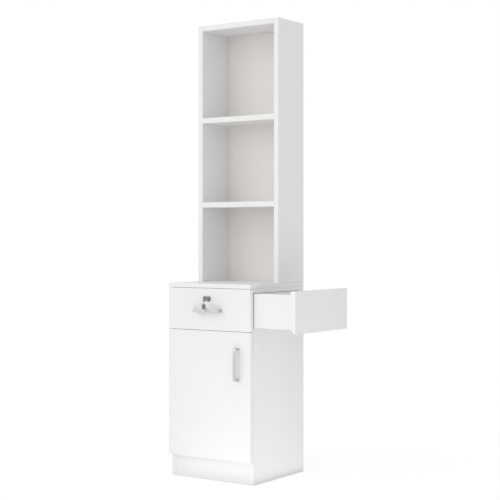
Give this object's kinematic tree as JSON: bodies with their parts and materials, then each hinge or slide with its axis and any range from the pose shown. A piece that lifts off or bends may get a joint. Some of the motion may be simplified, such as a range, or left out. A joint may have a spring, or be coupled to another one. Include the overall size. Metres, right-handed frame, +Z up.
{
  "type": "salon styling station",
  "caption": "Tall white salon styling station: lockable drawer and cupboard door under a counter, pull-out tool drawer on the right side, open shelved hutch above.",
  "frame": {"origin": "middle of the whole part's box on the floor, at rest with the tool drawer pulled out", "axes": "+Z up, -Y the way the door and the front drawer face, +X the side the tool drawer pulls out of"},
  "size_m": [0.5914, 0.421, 1.8],
  "materials": {
    "white_laminate": "white melamine laminate, satin",
    "white_backing": "white-faced thin board, matte",
    "satin_nickel": "satin nickel plate",
    "zinc_steel": "bright zinc plate",
    "pale_steel": "white powder coat",
    "dark_zinc": "dark nickel plate",
    "black_plastic": "moulded, fine grain"
  },
  "bodies": {
    "cabinet": {"base_side_left": "white_laminate", "base_side_right": "white_laminate", "base_bottom": "white_laminate", "base_back": "white_backing", "plinth_board": "white_laminate", "drawer_deck": "white_laminate", "bay_partition": "white_laminate", "counter_top": "white_laminate", "hutch_side_left": "white_laminate", "hutch_side_right": "white_laminate", "hutch_top": "white_laminate", "shelf_upper": "white_laminate", "shelf_lower": "white_laminate", "hutch_back": "white_backing", "slide_rail_left": "pale_steel", "slide_rail_right": "pale_steel", "tool_rail_fixed_front": "zinc_steel", "tool_rail_fixed_rear": "zinc_steel", "hinge_arm_lower": "zinc_steel", "hinge_arm_upper": "zinc_steel", "lock_keeper": "zinc_steel"},
    "front_drawer": {"drawer_front": "white_laminate", "drawer_side_left": "white_laminate", "drawer_side_right": "white_laminate", "drawer_back": "white_laminate", "drawer_bottom": "white_backing", "slide_runner_left": "pale_steel", "slide_runner_right": "pale_steel", "drawer_handle": "satin_nickel", "drawer_handle_screw_left": "zinc_steel", "drawer_handle_screw_right": "zinc_steel", "lock_body": "dark_zinc", "lock_nut": "zinc_steel"},
    "lock_core": {"lock_plug": "dark_zinc", "lock_cam": "zinc_steel", "cam_screw": "zinc_steel", "key_bow": "black_plastic", "key_blade": "satin_nickel"},
    "key_ring_body": {"key_ring": "satin_nickel"},
    "spare_key": {"spare_key_bow": "black_plastic", "spare_key_blade": "satin_nickel"},
    "door": {"door_panel": "white_laminate", "door_handle": "satin_nickel", "door_handle_screw_lower": "zinc_steel", "door_handle_screw_upper": "zinc_steel", "hinge_cup_lower": "zinc_steel", "hinge_cup_upper": "zinc_steel"},
    "tool_drawer": {"tool_front": "white_laminate", "tool_wall_front": "white_laminate", "tool_wall_rear": "white_laminate", "tool_wall_inner": "white_laminate", "tool_bottom": "white_backing", "tool_holder": "white_laminate", "holder_cleat_front": "white_backing", "holder_cleat_rear": "white_backing", "tool_rail_moving_front": "zinc_steel", "tool_rail_moving_rear": "zinc_steel"},
    "tool_rail_middle": {"tool_rail_mid_front": "zinc_steel", "tool_rail_mid_rear": "zinc_steel"}
  },
  "joints": [
    {"name": "drawer_slide", "type": "slide", "parent": "cabinet", "child": "front_drawer", "axis": [0, -1, 0], "range_m": [0, 0.225]},
    {"name": "tool_drawer_slide", "type": "slide", "parent": "cabinet", "child": "tool_drawer", "axis": [1, 0, 0], "range_m": [-0.18, 0]},
    {"name": "tool_rail_travel", "type": "slide", "parent": "cabinet", "child": "tool_rail_middle", "axis": [1, 0, 0], "range_m": [-0.09, 0]},
    {"name": "door_swing", "type": "hinge", "parent": "cabinet", "child": "door", "pos_m": [-0.29575, -0.1475, 0.3337], "axis": [0, 0, -1], "range_deg": [0, 100]},
    {"name": "lock_turn", "type": "hinge", "parent": "front_drawer", "child": "lock_core", "pos_m": [-0.10075, -0.1675, 0.704], "axis": [0, 1, 0], "range_deg": [0, 90]},
    {"name": "key_ring_swing", "type": "hinge", "parent": "lock_core", "child": "key_ring_body", "pos_m": [-0.10075, -0.199, 0.704], "axis": [0, 1, 0], "range_deg": [-46, 1]},
    {"name": "spare_key_swing", "type": "hinge", "parent": "key_ring_body", "child": "spare_key", "pos_m": [-0.10075, -0.199, 0.682], "axis": [0, 1, 0], "range_deg": [-46, 1]}
  ],
  "couplings": [
    {"joint": "tool_rail_travel", "follows": "tool_drawer_slide", "ratio": 0.5},
    {"joint": "key_ring_swing", "follows": "lock_turn", "ratio": -0.5},
    {"joint": "spare_key_swing", "follows": "lock_turn", "ratio": -0.5}
  ]
}
